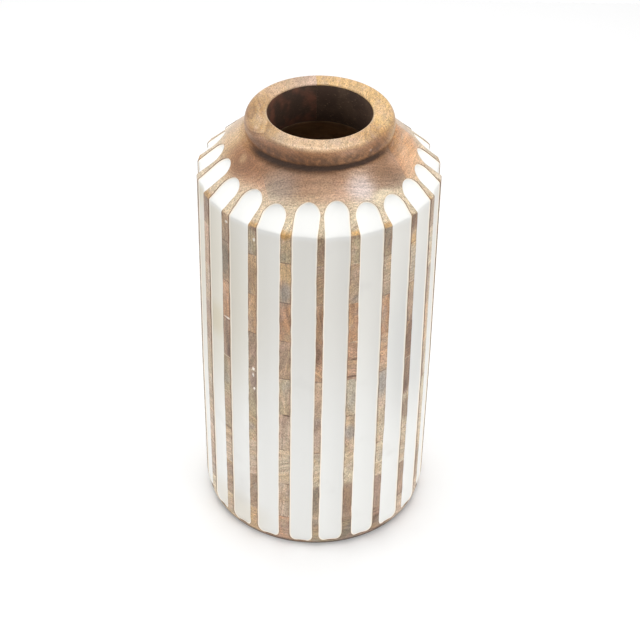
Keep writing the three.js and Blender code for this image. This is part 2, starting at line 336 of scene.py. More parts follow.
# The same on the shoulder and the rim, each from its place.
RIM_MARKS = [
    # Brown marks just below the crease are partly heartwood and partly painted shade.
    (on_shoulder(-44, 50), 12, 9, HEART_BROWN, 0.8, 0.6),
    (on_shoulder(-14, 49.5), 16, 6, HEART_BROWN, 0.5, 0.7),
    (on_shoulder(8, 49.5), 12, 5, HEART_BROWN, 0.45, 0.7),
    (on_shoulder(47, 50), 9, 6, HEART_BROWN, 0.55, 0.7),
    (on_shoulder(47, 58), 7, 6, HEART_BROWN, 0.35, 0.6),
    (on_shoulder(-12, 56), 14, 7, HEART_BROWN, 0.35, 0.7),
    (on_shoulder(-74, 59), 11, 10, HEART_BROWN, 0.3, 0.6),
    (on_shoulder(67, 49), 8, 4, HEART_BROWN, 0.65, 0.7),
    (on_shoulder(54, 52), 8, 5, HEART_BROWN, 0.45, 0.7),
    (on_shoulder(-68, 50.5), 8, 6, STAIN_AND_SHADE, 0.4, 0.7),
    (spot(-38, 46.6, 296), 9, 4, DIRT_AND_SHADE, 0.4, 0.8),
    (spot(52, 46.6, 296), 9, 4, DIRT_AND_SHADE, 0.4, 0.8),
    # A broad dark mark on the roll's lower left is partly dirt and partly painted shade.
    (spot(-33, 46.6, 291.5), 28, 7, DIRT_AND_SHADE, 0.8, 0.3),
    (on_shoulder(-24, 56), 9, 8, SPALT_GREY, 0.45, 0.8),
    (on_shoulder(-60, 54), 16, 12, STAIN_AND_SHADE, 0.7, 0.7),
    (on_shoulder(-58, 55.5), 9, 6, KNOT_BROWN, 0.45, 0.5),
    (on_shoulder(-61, 53.3), 3, 2.5, HONEY, 0.4, 0.6),
    (on_shoulder(2, 54), 8, 8, BROWN_TAN, 0.45, 0.8),
    (on_shoulder(14, 58), 5, 5, ROSE_TAN, 0.5, 0.8),
    # A painted highlight: a lamp reflected in the wax, right of the front.
    (on_shoulder(27, 57), 8, 7, PAINTED_HIGHLIGHT_PINK, 0.8, 0.7),
    (on_shoulder(74, 58.5), 11, 9, PALE_ORANGE, 0.5, 0.5),
    (on_shoulder(67, 58), 9, 8, RUST_TAN, 0.45, 0.7),
    (on_shoulder(59, 54), 5, 8, RUST_TAN, 0.5, 0.6),
    (on_shoulder(41, 56), 8, 9, HEART_BROWN, 0.5, 0.6),
    (on_shoulder(54, 58), 7, 9, HEART_BROWN, 0.65, 0.6),
    (on_shoulder(38, 63.5), 7, 3, CREAM_SAP, 0.8, 0.4),
    # Two white dots on the roll are painted glints.
    (spot(41.5, 46.8, 294), 1, 0.9, CHIP_AND_GLINT_WHITE, 0.95, 0.4),
    (spot(44, 46.3, 288.8), 0.7, 0.6, CHIP_AND_GLINT_WHITE, 0.8, 0.4),
]

# Tints on the enamel of the wall: yellowed and darker on the flutes left of the front, grey on
# its right. They are partly stains of wax and partly painted shade.
ENAMEL_STAINS_AND_SHADE = [
    (on_wall(-60, 190), 36, 75, srgb("#D5CEBC"), 0.65, 0.6),
    (on_wall(-58, 168), 9, 12, srgb("#CDC0A0"), 0.5, 0.6),
    (on_wall(-76, 252), 10, 10, srgb("#D5CBB4"), 0.6, 0.6),
    (on_wall(54, 155), 26, 60, srgb("#D6D6D3"), 0.85, 0.6),
    (on_wall(-45, 14), 24, 16, srgb("#D9D0BE"), 0.5, 0.6),
]


def marks_as_tints(add, place, marks):
    """Tints for marks with ragged edges."""
    ragged = add("VectorMath", {0: place, 1: (5, 5, 5)}, operation="DIVIDE")
    ragged = add(
        "TexNoise", {"Vector": ragged, "Scale": 1, "Detail": 2, "Roughness": 0.6}, "Color"
    )
    ragged = add("VectorMath", {0: ragged, 1: (0.5,) * 3}, operation="SUBTRACT")
    tints = []
    for centre, wide, tall, tint, share, blur in marks:
        loose = 3 if min(wide, tall) > 2 else 0.8
        near = add("VectorMath", {0: ragged, 1: (loose,) * 3, 2: place}, operation="MULTIPLY_ADD")
        near = add("VectorMath", {0: near, 1: centre}, operation="SUBTRACT")
        near = add("VectorMath", {0: near, 1: (wide, wide, tall)}, operation="DIVIDE")
        near = add("VectorMath", {0: near}, "Value", operation="LENGTH")
        tints.append((tint, share, (near, 1 + blur, 1 - blur)))
    return tints


def lay_tints(add, colour, tints):
    """Lays tints over a colour. Each range is a source with the values that give none and all."""
    for tint, share, *ranges in tints:
        amount = share
        for source, none, full in ranges:
            inside = add("MapRange", {0: source, 1: none, 2: full}, interpolation_type="SMOOTHSTEP")
            amount = add("Math", {0: amount, 1: inside}, operation="MULTIPLY")
        colour = add("Mix", {0: amount, 6: colour, 7: tint}, 2, data_type="RGBA")
    return colour


def mango_wood(name, marks, on_rim, figure, speckle, cloudy):
    """Mango wood, turned, sanded and waxed to a low sheen. Streaks follow the tree's rings, short
    dark pores run along the grain, and clouds of honey, rose and grey make each rib differ from
    the next. Figure, speckle and cloudy are the strengths of streaks, pores and clouds."""
    material, add, shader = new_material(name)
    timber = add("Attribute", output="Vector", attribute_name="timber")
    colour = add("Attribute", output="Color", attribute_name="tone")
    border = add("Attribute", output="Fac", attribute_name="border")
    metres = add("TexCoord", output="Object")
    place = add("VectorMath", {0: metres, "Scale": 1 / MM}, operation="SCALE")
    sideways, depth, height = add("SeparateXYZ", {0: place}).node.outputs
    level_place = add("VectorMath", {0: place, 1: (1, 1, 0)}, operation="MULTIPLY")
    radius = add("VectorMath", {0: level_place}, "Value", operation="LENGTH")

    # The grain wanders a few millimetres in the length of a block.
    sway = add("VectorMath", {0: timber, 1: (60, 24, 24)}, operation="DIVIDE")
    sway = add("TexNoise", {"Vector": sway, "Scale": 1, "Detail": 1}, "Color")
    sway = add("VectorMath", {0: sway, 1: (0.5,) * 3}, operation="SUBTRACT")
    wandering = add("VectorMath", {0: sway, 1: (14, 14, 14), 2: timber}, operation="MULTIPLY_ADD")
    across = add("VectorMath", {0: wandering, 1: (0, 1, 1)}, operation="MULTIPLY")
    heart = add("VectorMath", {0: across}, "Value", operation="LENGTH")
    along = add("SeparateXYZ", {0: wandering})
    rings = add("CombineXYZ", {0: along, 1: heart})

    # Patterns, each with its length and width in millimetres. Pores are 0.2 mm wide in the wood
    # and its fibres finer still; they are drawn 0.6 and 0.85 mm wide to show.
    fields = {}
    for label, source, size, detail, roughness in (
        ("streaks", rings, (80, 5, 1), 2, 0.5),
        ("fine", rings, (26, 1.3, 1), 2, 0.6),
        ("lines", rings, (45, 2.8, 1), 0.5, 0.5),
        ("arcs", rings, (60, 1.2, 1), 0, 0.5),
        ("pores", wandering, (2, 0.6, 0.6), 1, 0.5),
        ("flecks", timber, (1, 0.85, 0.85), 2, 0.7),
        ("clouds", timber, (17, 11, 11), 1.5, 0.5),
        ("mottle", timber, (6, 3.6, 3.6), 1, 0.5),
    ):
        scaled = add("VectorMath", {0: source, 1: size}, operation="DIVIDE")
        pattern = {"Vector": scaled, "Scale": 1, "Detail": detail, "Roughness": roughness}
        fields[label] = add("TexNoise", pattern)
    for label in ("clouds", "mottle"):
        channels = add("SeparateColor", {0: fields[label].node.outputs["Color"]})
        for letter, channel in zip("abc", channels.node.outputs):
            fields[f"{label}_{letter}"] = channel

    # How far a place is above or below the nearest glue line of the body
    off_line = height
    for operation, value in (
        ("SUBTRACT", BASE_COURSE),
        ("DIVIDE", COURSE_HEIGHT),
        ("MINIMUM", BODY_COURSES - 0.5),
        ("PINGPONG", 0.5),
        ("MULTIPLY", COURSE_HEIGHT),
    ):
        off_line = add("Math", {0: off_line, 1: value}, operation=operation)
    filler = add("TexNoise", {"Vector": metres, "Scale": 50, "Detail": 0})

    # Tints, one over the other: each a colour, its share, and the ranges over which it comes in.
    clouds, mottle, corner = fields["clouds_c"], fields["mottle_c"], SHOULDER_HEIGHT
    on_the_wall = (height, corner + 1, corner - 1)
    on_the_slope = (height, corner - 1, corner + 1)
    above_corner = (height, corner + 3.2, corner + 1.2), (height, corner - 0.7, corner + 0.2)
    below_corner = (height, corner - 4, corner - 1.5), (height, corner + 0.4, corner - 0.3)
    tints = [
        (HONEY, 0.7 * cloudy, (fields["clouds_a"], 0.45, 0.68)),
        (ROSE_TAN, 0.7 * cloudy, (fields["clouds_b"], 0.50, 0.70)),
        (SPALT_GREY, 0.6 * cloudy, (clouds, 0.54, 0.72)),
        # Sanding bares paler wood on the slope between the flutes' tips. At the ribs' corners it
        # leaves amber above and brown below.
        (CREAM_SAP, 0.75, (radius, 57, 66), (height, corner - 0.6, corner + 0.8)),
        (AMBER, 0.8, *above_corner, (clouds, 0.35, 0.6)),
        (HEART_BROWN, 0.6, *below_corner, (mottle, 0.35, 0.6)),
        (ROSE_TAN, 0.35, (fields["mottle_a"], 0.50, 0.75)),
        (OLIVE_TAN, 0.35, (fields["mottle_b"], 0.52, 0.75)),
        (HEART_BROWN, 0.4 * figure, (fields["streaks"], 0.60, 0.76)),
        (HEART_BROWN, 0.2 * figure, (fields["lines"], 0.56, 0.66)),
        (KNOT_BROWN, speckle, (fields["pores"], 0.52, 0.66)),
        *marks_as_tints(add, place, marks),
        # Painted contact shade darkens the foot towards its edge on the floor.
        (DIRT_AND_SHADE, 0.85, (height, 5, 1.2)),
        # The ribs are darker within a millimetre of the flutes.
        (KNOT_BROWN, 0.5, (border, 1, 0.1), (mottle, 0.36, 0.60), on_the_wall),
        (BROWN_TAN, 0.5, (border, 0.7, 0.1), on_the_slope),
        # Glue lines: some are filled with pale putty, some gape a little and hold dirt.
        (PUTTY, 0.5, (off_line, 0.45, 0.15), (filler, 0.56, 0.64)),
        (KNOT_BROWN, 0.65, (off_line, 0.50, 0.20), (filler, 0.50, 0.40)),
    ]
    if on_rim:
        in_front = (depth, -16, -34)
        on_left = (sideways, 22, -8)
        ringed = (sideways, -26, -36), (depth, 16, -4), (height, 290, 296)
        patchy = (mottle, 0.3, 0.6)
        roll, outer = (radius, 43, 45), (radius, 43, 44)
        tints += [
            # Growth rings show on the left of the rim.
            (HEART_BROWN, 0.55, (fields["arcs"], 0.50, 0.60), *ringed),
            (CREAM_SAP, 0.15, (fields["arcs"], 0.48, 0.36), *ringed),
            # Wax and dust fill the crease under the rim, and stain the roll above it and the
            # shoulder below. In front these tints are painted shade as well, darkest in the crease
            # and on the left.
            (STAIN_AND_SHADE, 0.45, (radius, 43.5, 46), (height, 286, 288)),
            (STAIN_AND_SHADE, 0.7, (height, 299, 297), roll, (height, 284.5, 287), in_front),
            (STAIN_AND_SHADE, 0.4, (radius, 64, 47), (height, 289, 287), in_front),
            (DIRT_AND_SHADE, 0.55, (height, 298, 293), roll, (height, 285, 286.6), patchy, in_front),
            (DIRT_AND_SHADE, 0.95, (height, 290.6, 288.4), outer, (height, 285.4, 286.8), in_front),
            (DIRT_AND_SHADE, 0.75, (height, 289, 287), outer, (height, 283.2, 286.2), in_front, on_left),
            # The mouth's front edge is painted pale: a painted highlight on its round.
            (CREAM_SAP, 0.5, (radius, 34.4, 33.6), (height, 298.2, 299.2), (depth, 20, -20)),
        ]
    colour = lay_tints(add, colour, tints)
    for label, low, high, at_low, at_high in (
        ("streaks", 0.30, 0.60, 1 + 0.10 * figure, 1 - 0.07 * figure),
        ("fine", 0.33, 0.67, 1 + 0.05 * (3 + figure), 1 - 0.045 * (3 + figure)),
        ("flecks", 0.34, 0.66, 0.72, 1.30),
    ):
        level = add("MapRange", {0: fields[label], 1: low, 2: high, 3: at_low, 4: at_high})
        colour = add("VectorMath", {0: colour, "Scale": level}, operation="SCALE")

    relief = add("MapRange", {0: fields["pores"], 1: 0.52, 2: 0.66, 3: 0, 4: -1})
    relief = add("Math", {0: fields["fine"], 1: 0.4, 2: relief}, operation="MULTIPLY_ADD")
    bump = add("Bump", {"Strength": 0.35, "Distance": 0.12 * MM, "Height": relief})
    gloss = add("MapRange", {0: fields["fine"], 1: 0.3, 2: 0.7, 3: 0.34, 4: 0.46})
    if on_rim:
        # Nothing polishes the dirt in the crease.
        from_crease = add("Math", {0: height, 1: 287}, operation="SUBTRACT")
        from_crease = add("Math", {0: from_crease}, operation="ABSOLUTE")
        dull = add("MapRange", {0: from_crease, 1: 4, 2: 2, 3: 0, 4: 0.45})
        gloss = add("Math", {0: gloss, 1: dull}, operation="ADD")
    connect(shader, {"Base Color": colour, "Normal": bump, "Roughness": gloss, "IOR": WOOD_IOR})
    return material


def tooled_wood(name, low_tint, high_tint, mark_width):
    """Mango wood as the gouge or the turner's hook left it: dull, with uneven stain."""
    material, add, shader = new_material(name)
    place = add("TexCoord", output="Object")
    pattern = {"Vector": place, "Scale": 1 / MM / mark_width, "Detail": 4, "Roughness": 0.6}
    marks = add("TexNoise", pattern)
    share = add("MapRange", {0: marks, 1: 0.35, 2: 0.68})
    tints = {0: share, 6: srgb(low_tint), 7: srgb(high_tint)}
    colour = add("Mix", tints, 2, data_type="RGBA")
    bump = add("Bump", {"Strength": 0.4, "Distance": 0.4 * MM, "Height": marks})
    connect(shader, {"Base Color": colour, "Normal": bump, "Roughness": 0.7, "IOR": WOOD_IOR})
    return material


def bored_throat():
    """Mango wood as the boring tool left it, under dark stain that is redder on the left block,
    with raised fibres that catch the light on the other."""
    material, add, shader = new_material("mango wood, bored and stained")
    place = add("TexCoord", output="Object")
    sideways = add("SeparateXYZ", {0: place})
    stain = add("TexNoise", {"Vector": place, "Scale": 90, "Detail": 4})
    # Fibres are finer than a pixel of the photo; they are drawn 0.8 mm wide to show.
    fibres = add("VectorMath", {0: place, 1: (480, 480, 1300)}, operation="MULTIPLY")
    fibres = add("TexNoise", {"Vector": fibres, "Scale": 1, "Detail": 2})
    # The joint at the back of the throat is 2.3 mm left of the middle.
    red, other = (sideways, -2.1 * MM, -2.5 * MM), (sideways, -2.5 * MM, -2.1 * MM)
    tints = [
        (srgb("#7A4E3C"), 0.8, (stain, 0.42, 0.66), red),
        (srgb("#5E4A3A"), 0.6, (stain, 0.46, 0.66), other),
        (srgb("#A68A6C"), 0.36, (fibres, 0.60, 0.72), other),
        (srgb("#A0785C"), 0.20, (fibres, 0.58, 0.72), red),
    ]
    colour = lay_tints(add, srgb("#463429"), tints)
    bump = add("Bump", {"Strength": 0.4, "Distance": 0.4 * MM, "Height": fibres})
    connect(shader, {"Base Color": colour, "Normal": bump, "Roughness": 0.6, "IOR": WOOD_IOR})
    return material


def white_enamel():
    """Enamel paint, brushed thick into the flutes and rubbed: satin white with low waves, faintly
    soiled, and drawn up to a bright cream-coloured line where it meets the wood. The line is partly
    the paint's own colour and partly painted highlight."""
    material, add, shader = new_material("white enamel, brushed")
    edge = add("Attribute", output="Fac", attribute_name="edge")
    place = add("TexCoord", output="Object")
    waves = add("TexNoise", {"Vector": place, "Scale": 45, "Detail": 1})
    smudge = add("TexNoise", {"Vector": place, "Scale": 30, "Detail": 3})
    millimetres = add("VectorMath", {0: place, "Scale": 1 / MM}, operation="SCALE")
    height = add("SeparateXYZ", {0: millimetres}, 2)
    on_the_wall = (height, SHOULDER_HEIGHT, SHOULDER_HEIGHT - 6)
    stains_and_shade = marks_as_tints(add, millimetres, ENAMEL_STAINS_AND_SHADE)
    tints = [
        # Painted shade greys the upper wall, which gets less light from the paper.
        (srgb("#E4E2DC"), 1, (height, 90, 205), on_the_wall),
        # The stains on the wall carry painted shade too.
        *((*stain, on_the_wall) for stain in stains_and_shade),
        (srgb("#D6D4D0"), 0.4, (smudge, 0.58, 0.78)),
        # The bright cream line at the edge is partly painted highlight.
        (srgb("#FBF3E6"), 0.95, (edge, 1.15, 0.45)),
        (srgb("#D9BFA0"), 0.55, (edge, 0.30, 0.05)),
    ]
    colour = lay_tints(add, srgb("#EBEBE8"), tints)
    bump = add("Bump", {"Strength": 0.25, "Distance": 0.6 * MM, "Height": waves})
    connect(shader, {"Base Color": colour, "Normal": bump, "Roughness": 0.4, "IOR": ENAMEL_IOR})
    return material


rib_wood = mango_wood(
    "mango wood, turned and waxed", RIB_MARKS, False, figure=1, speckle=0.4, cloudy=0.7
)
rim_wood = mango_wood(
    "mango wood, turned and waxed rim", RIM_MARKS, True, figure=0.4, speckle=0.45, cloudy=0.45
)
flute_wood = tooled_wood("mango wood, gouged", "#5C4231", "#94714F", mark_width=4)
throat_wood = bored_throat()
hollow_wood = tooled_wood("mango wood, hollowed out", "#AE9276", "#D0B595", mark_width=14)
enamel = white_enamel()


# The turned body


def deselect_all():
    if bpy.context.object and bpy.context.object.mode != "OBJECT":
        bpy.ops.object.mode_set(mode="OBJECT")
    bpy.ops.object.select_all(action="DESELECT")


def pick(piece):
    deselect_all()
    piece.select_set(True)
    bpy.context.view_layer.objects.active = piece


def eased(before, corner, after, steps):
    """Points that round a corner off, from the point before it to the point after it."""
    parts = [i / steps for i in range(steps + 1)]
    return [(1 - t) ** 2 * before + 2 * t * (1 - t) * corner + t * t * after for t in parts]


def turned_section():
    """The section of the vase as (radius, height), round from the foot's middle to the floor's."""
    points = [Vector((r, 0)) for r in (0, 30, 60, FOOT_RADIUS - FOOT_EASE)]
    side = Vector((wall_radius(FOOT_EASE), FOOT_EASE))
    points += eased(points[-1], Vector((FOOT_RADIUS, 0)), side, 6)[1:]
    heights = [2.5, 3.5, 5, 6.5, 8, 9.5, 11, 13, 15, 18, 32, 46, 60, 74, 88, 103]
    heights += [TAPER_TOP, 140, 164, 188, 212, 236, 250]
    points += [Vector((wall_radius(z), z)) for z in heights]
    below, above = SHOULDER_CORNER - Vector((0, 1)), SHOULDER_CORNER + SHOULDER_RUN
    points += eased(below, SHOULDER_CORNER, above, 4)
    slope = (CREASE - SHOULDER_CORNER).length
    for i in range(1, SHOULDER_STEPS):
        points.append(SHOULDER_CORNER + SHOULDER_RUN * slope * i / SHOULDER_STEPS)
    first = CREASE_ANGLE + 14
    turns = [first] + [first + (90 - first) * i / ROLL_STEPS for i in range(1, ROLL_STEPS + 1)]
    roll = [ellipse(RIM_CENTRE, RIM_BEAD, RIM_HALF_HEIGHT, turn) for turn in turns]
    points += eased(CREASE - 2 * SHOULDER_RUN, CREASE, roll[0], 6) + roll[1:]
    lip = (MOUTH_RADIUS + MOUTH_ROUND, TOTAL_HEIGHT - MOUTH_ROUND)
    points.append(Vector((39, TOTAL_HEIGHT)))
    points += [ellipse(lip, MOUTH_ROUND, MOUTH_ROUND, 90 + 15 * i) for i in range(7)]
    fall = SHOULDER_SLOPE * (HOLLOW_RADIUS - MOUTH_RADIUS)
    edge = Vector((MOUTH_RADIUS, THROAT_END))
    ceiling_end = Vector((HOLLOW_RADIUS, THROAT_END - fall))
    down_slope = (ceiling_end - edge).normalized()
    points.append(Vector((MOUTH_RADIUS, THROAT_END + 12)))
    points += eased(edge + Vector((0, 1.5)), edge, edge + 1.5 * down_slope, 3)
    points += eased(ceiling_end - 6 * down_slope, ceiling_end, ceiling_end - Vector((0, 6)), 4)
    corner_height = FLOOR + FLOOR_ROUND
    corner = (wall_radius(corner_height) - WALL - FLOOR_ROUND, corner_height)
    points += [Vector((HOLLOW_RADIUS, 180)), Vector((HOLLOW_RADIUS, TAPER_TOP))]
    points += [ellipse(corner, FLOOR_ROUND, FLOOR_ROUND, -15 * i) for i in range(7)]
    points += [Vector((25, FLOOR)), Vector((0, FLOOR))]
    return points


def turn_body():
    """Draws the section point by point and spins it."""
    deselect_all()
    section = [spot(FIRST_RIB, *point) * MM for point in turned_section()]
    bpy.ops.mesh.primitive_plane_add(size=MM, location=section[0])
    body = bpy.context.object
    bpy.ops.object.transform_apply(location=True, rotation=False, scale=False)
    bpy.ops.object.mode_set(mode="EDIT")
    bpy.ops.mesh.merge(type="CENTER")
    for start, end in zip(section, section[1:]):
        bpy.ops.mesh.extrude_vertices_move(TRANSFORM_OT_translate={"value": end - start})
    bpy.ops.mesh.select_all(action="SELECT")
    bpy.ops.mesh.spin(steps=FACETS, angle=math.tau, center=(0, 0, 0), axis=UP)
    bpy.ops.mesh.select_all(action="SELECT")
    bpy.ops.mesh.remove_doubles(threshold=0.005 * MM)
    bpy.ops.mesh.normals_make_consistent(inside=False)
    bpy.ops.object.mode_set(mode="OBJECT")
    for material in (rib_wood, throat_wood, hollow_wood):
        body.data.materials.append(material)
    # The throat and the hollow keep the marks of their tools. The lip's round edge is waxed.
    for face in body.data.polygons:
        centre = face.center / MM
        reach = math.hypot(centre.x, centre.y)
        ceiling = THROAT_END - (reach - MOUTH_RADIUS) * SHOULDER_SLOPE
        if reach < MOUTH_RADIUS + 0.3 and THROAT_END < centre.z < TOTAL_HEIGHT - 1.6:
            face.material_index = 1
        elif FLOOR - 1 < centre.z < ceiling + 0.8 and reach < wall_radius(centre.z) - 4:
            face.material_index = 2
    return body


# Flutes

# A row across a flute: its middle on the turned section, the way a millimetre of depth moves it,
# half its width, how open the hollow is there, the shift of its middle, and the enamel's step.
Row = namedtuple("Row", "point inward half openness shift step")


def flute_azimuth(index):
    return FIRST_RIB + FLUTE_PITCH * (index + 0.5)


def opened(rise):
    """How open the hollow is at a height above the flute's lower end."""
    t = min(1, rise / FOOT_FADE)
    return FOOT_OPENNESS + (1 - FOOT_OPENNESS) * t * t * (3 - 2 * t)


def flute_rows(hand_cut):
    """Rows of one flute from its lower end to its tip."""
    half = (FLUTE_WIDTH + hand_cut.width) / 2
    lower_end = FLUTE_FOOT + hand_cut.foot
    outline = []
    for i in range(9):
        turn = math.radians(-90 + 11.25 * i)
        z = lower_end + FLUTE_CORNER_RISE * (1 + math.sin(turn))
        outline.append((z, half - FLUTE_CORNER + FLUTE_CORNER * math.cos(turn)))
    start, end = outline[-1][0], SHOULDER_HEIGHT - 2.6
    outline += [(start + (end - start) * (i + 1) / WALL_ROWS, half) for i in range(WALL_ROWS)]
    level_in = Vector((-WALL_SHARE, 0))
    rows = []
    for z, across in outline:
        part = z / SHOULDER_HEIGHT
        shift = hand_cut.foot_shift * (1 - part) + hand_cut.corner_shift * part
        openness = opened(z - lower_end)
        rows.append(Row(Vector((wall_radius(z), z)), level_in, across, openness, shift, WALL_STEP))
    fall = (1 - SHOULDER_NORMAL.x * WALL_SHARE) / SHOULDER_NORMAL.y
    mitre = Vector((-WALL_SHARE, -fall))
    shift = hand_cut.corner_shift
    for point, inward, step in (
        (SHOULDER_CORNER - Vector((0, 1.2)), level_in.lerp(mitre, 0.5), WALL_STEP),
        (SHOULDER_CORNER - Vector((0, 0.5)), level_in.lerp(mitre, 0.8), WALL_STEP),
        (SHOULDER_CORNER, mitre, WALL_STEP),
        (SHOULDER_CORNER + 0.5 * SHOULDER_RUN, (-SHOULDER_NORMAL).lerp(mitre, 0.8), 0.7),
        (SHOULDER_CORNER + 1.2 * SHOULDER_RUN, (-SHOULDER_NORMAL).lerp(mitre, 0.5), 0.55),
    ):
        rows.append(Row(point, inward, half, 1, shift, step))
    straight = FLUTE_REACH + hand_cut.reach - FLUTE_ARCH
    reach = straight + FLUTE_ARCH
    slope = [(straight * share, 0) for share in (0.25, 0.45, 0.65, 0.85)]
    for degrees in (0, 8, 16, 24, 32, 40, 48, 55, 62, 68, 73, 78, 82, 85.5, 88):
        slope.append((straight + FLUTE_ARCH * math.sin(math.radians(degrees)), degrees))
    for run, degrees in slope:
        narrowing = math.cos(math.radians(degrees))
        along = SHOULDER_CORNER + run * SHOULDER_RUN
        part = run / reach
        shift = hand_cut.corner_shift * (1 - part) + hand_cut.tip_shift * part
        rows.append(Row(along, -SHOULDER_NORMAL, half * narrowing, narrowing, shift, TIP_STEP))
    return rows


flutes = [flute_rows(hand_cut) for hand_cut in hand_cuts]


def sagitta(row, side):
    """How far the turned face falls back from the plane across the flute's middle."""
    return (side * row.half) ** 2 / (2 * row.point.x)


def face_depth(row, side):
    """How deep the enamel's face lies, measured from the plane across the flute's middle."""
    step = row.step * (0.4 + 0.6 * row.openness**0.5)
    hollow = BRUSHED_HOLLOW * (1 - side * side) * row.openness**0.8
    return sagitta(row, side) + step + hollow


def carved_point(index, row, side, depth):
    """A point under the face of the vase, at a side of the flute from -1 to 1, in metres."""
    edge = 1 if side > 0 else -1
    full = min(1, row.half / (FLUTE_WIDTH / 2))
    # The hand strays a few tenths of a millimetre, in waves 31 and 8 mm long.
    run = row.point.y - row.point.x
    wobble = 0.30 * noise.noise(Vector((run / 31, index * 5.3, edge * 2.7)))
    wobble += 0.26 * noise.noise(Vector((run / 8, index * 8.1, edge * 4.9)))
    lean = GOUGE_SLOPE * (sagitta(row, 1) + row.step - depth) * full
    sideways = row.shift + side * (row.half + lean) + abs(side) * wobble * full
    at = row.point + row.inward * depth
    azimuth = flute_azimuth(index)
    return (outward(azimuth) * at.x + rightward(azimuth) * sideways + UP * at.y) * MM


def edge_points(index, depth_at_edge):
    """Evenly spaced points round the edge of a flute."""
    rows = flutes[index]
    ring = [carved_point(index, row, -1, depth_at_edge(row)) for row in rows]
    ring += [carved_point(index, row, 1, depth_at_edge(row)) for row in reversed(rows)]
    points = []
    for start, end in zip(ring, ring[1:] + ring[:1]):
        count = max(1, round((end - start).length / (EDGE_SPACING * MM)))
        points += [start.lerp(end, i / count) for i in range(count)]
    return points


def near_finder(points):
    finder = kdtree.KDTree(len(points))
    for i, point in enumerate(points):
        finder.insert(point, i)
    finder.balance()
    return finder


def slab(name, columns, crowding):
    """A grid, extruded, as high as it has rows: the first layer becomes the back of a strip and
    the second its face. Crowding draws the columns to the edges."""
    rows = len(flutes[0])
    deselect_all()
    bpy.ops.mesh.primitive_grid_add(x_subdivisions=columns, y_subdivisions=rows - 1, size=2)
    piece = bpy.context.object
    piece.name = piece.data.name = name
    bpy.ops.object.mode_set(mode="EDIT")
    bpy.ops.mesh.select_all(action="SELECT")
    bpy.ops.mesh.extrude_region_move(TRANSFORM_OT_translate={"value": UP})
    bpy.ops.mesh.select_all(action="SELECT")
    bpy.ops.mesh.normals_make_consistent(inside=False)
    bpy.ops.object.mode_set(mode="OBJECT")
    for vertex in piece.data.vertices:
        side = math.copysign(1 - (1 - abs(vertex.co.x)) ** crowding, vertex.co.x)
        vertex.co = (side, round((vertex.co.y + 1) / 2 * (rows - 1)), round(vertex.co.z))
    return piece


def copy_of(piece, name):
    copy = piece.copy()
    copy.data = piece.data.copy()
    copy.name = copy.data.name = name
    bpy.context.scene.collection.objects.link(copy)
    return copy


def cut(piece, cutter, operation):
    modifier = piece.modifiers.new("cut", "BOOLEAN")
    modifier.solver = "MANIFOLD"
    modifier.operation = operation
    modifier.material_mode = "TRANSFER"
    modifier.object = cutter
    pick(piece)
    bpy.ops.object.modifier_apply(modifier=modifier.name)


def carve_flutes(body):
    """Cuts all the flutes out of the turned body, with one cutting shape bent into each."""
    first = slab("cutter", CUTTER_COLUMNS, crowding=1)
    first.data.materials.append(flute_wood)
    cutters = [copy_of(first, f"cutter_{index}") for index in range(FLUTES)]
    bpy.data.objects.remove(first)
    for index, cutter in enumerate(cutters):
        for vertex in cutter.data.vertices:
            side, number, is_face = vertex.co
            row = flutes[index][round(number)]
            depth = -CUTTER_CLEAR if is_face else face_depth(row, side) + ENAMEL_THICKNESS
            vertex.co = carved_point(index, row, side, depth)
    deselect_all()
    for cutter in cutters:
        cutter.select_set(True)
    bpy.context.view_layer.objects.active = cutters[0]
    bpy.ops.object.join()
    cut(body, cutters[0], "DIFFERENCE")
    bpy.data.objects.remove(cutters[0])


def write(piece, name, values, kind="FLOAT", field="value"):
    """Writes values on the points of a piece, for its material to read."""
    piece.data.attributes.new(name, kind, "POINT").data.foreach_set(field, values)


def finish(piece, name, node):
    piece.name = piece.data.name = name
    pick(piece)
    bpy.ops.object.shade_smooth_by_angle(angle=math.radians(SMOOTH_ANGLE))
    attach(piece, "root")
    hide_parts(node)


def fill_with_enamel(piece, index):
    """Bends a strip into its flute, with its face hollowed by the brush and its edges drawn up
    the wood, and writes on each point how far it is from the strip's edge, in millimetres."""
    rows = flutes[index]
    edge = near_finder(edge_points(index, lambda row: face_depth(row, 1)))
    distances = []
    for vertex in piece.data.vertices:
        side, number, is_face = vertex.co
        row = rows[round(number)]
        depth = face_depth(row, side)
        distance = edge.find(carved_point(index, row, side, depth))[2] / MM
        if is_face:
            lip = max(0, 1 - distance / ENAMEL_LIP_WIDTH)
            depth -= ENAMEL_LIP * lip * lip
        else:
            depth += ENAMEL_THICKNESS
        vertex.co = carved_point(index, row, side, depth)
        distances.append(distance)
    write(piece, "edge", distances)
    finish(piece, f"vase_enamel_{index + 1:02d}", f"enamel_flute_{index + 1:02d}")


# Blocks


def joint(keep, distance=0):
    """A joint at a distance from the axis, of which the side that a direction points to is kept."""
    return keep * (distance + HALF_GAP) * MM, keep


def after(azimuth):
    return joint(rightward(azimuth))


def before(azimuth):
    return joint(-rightward(azimuth))


def beyond(azimuth, distance):
    return joint(outward(azimuth), distance)


def within(azimuth, distance):
    return joint(-outward(azimuth), -distance)


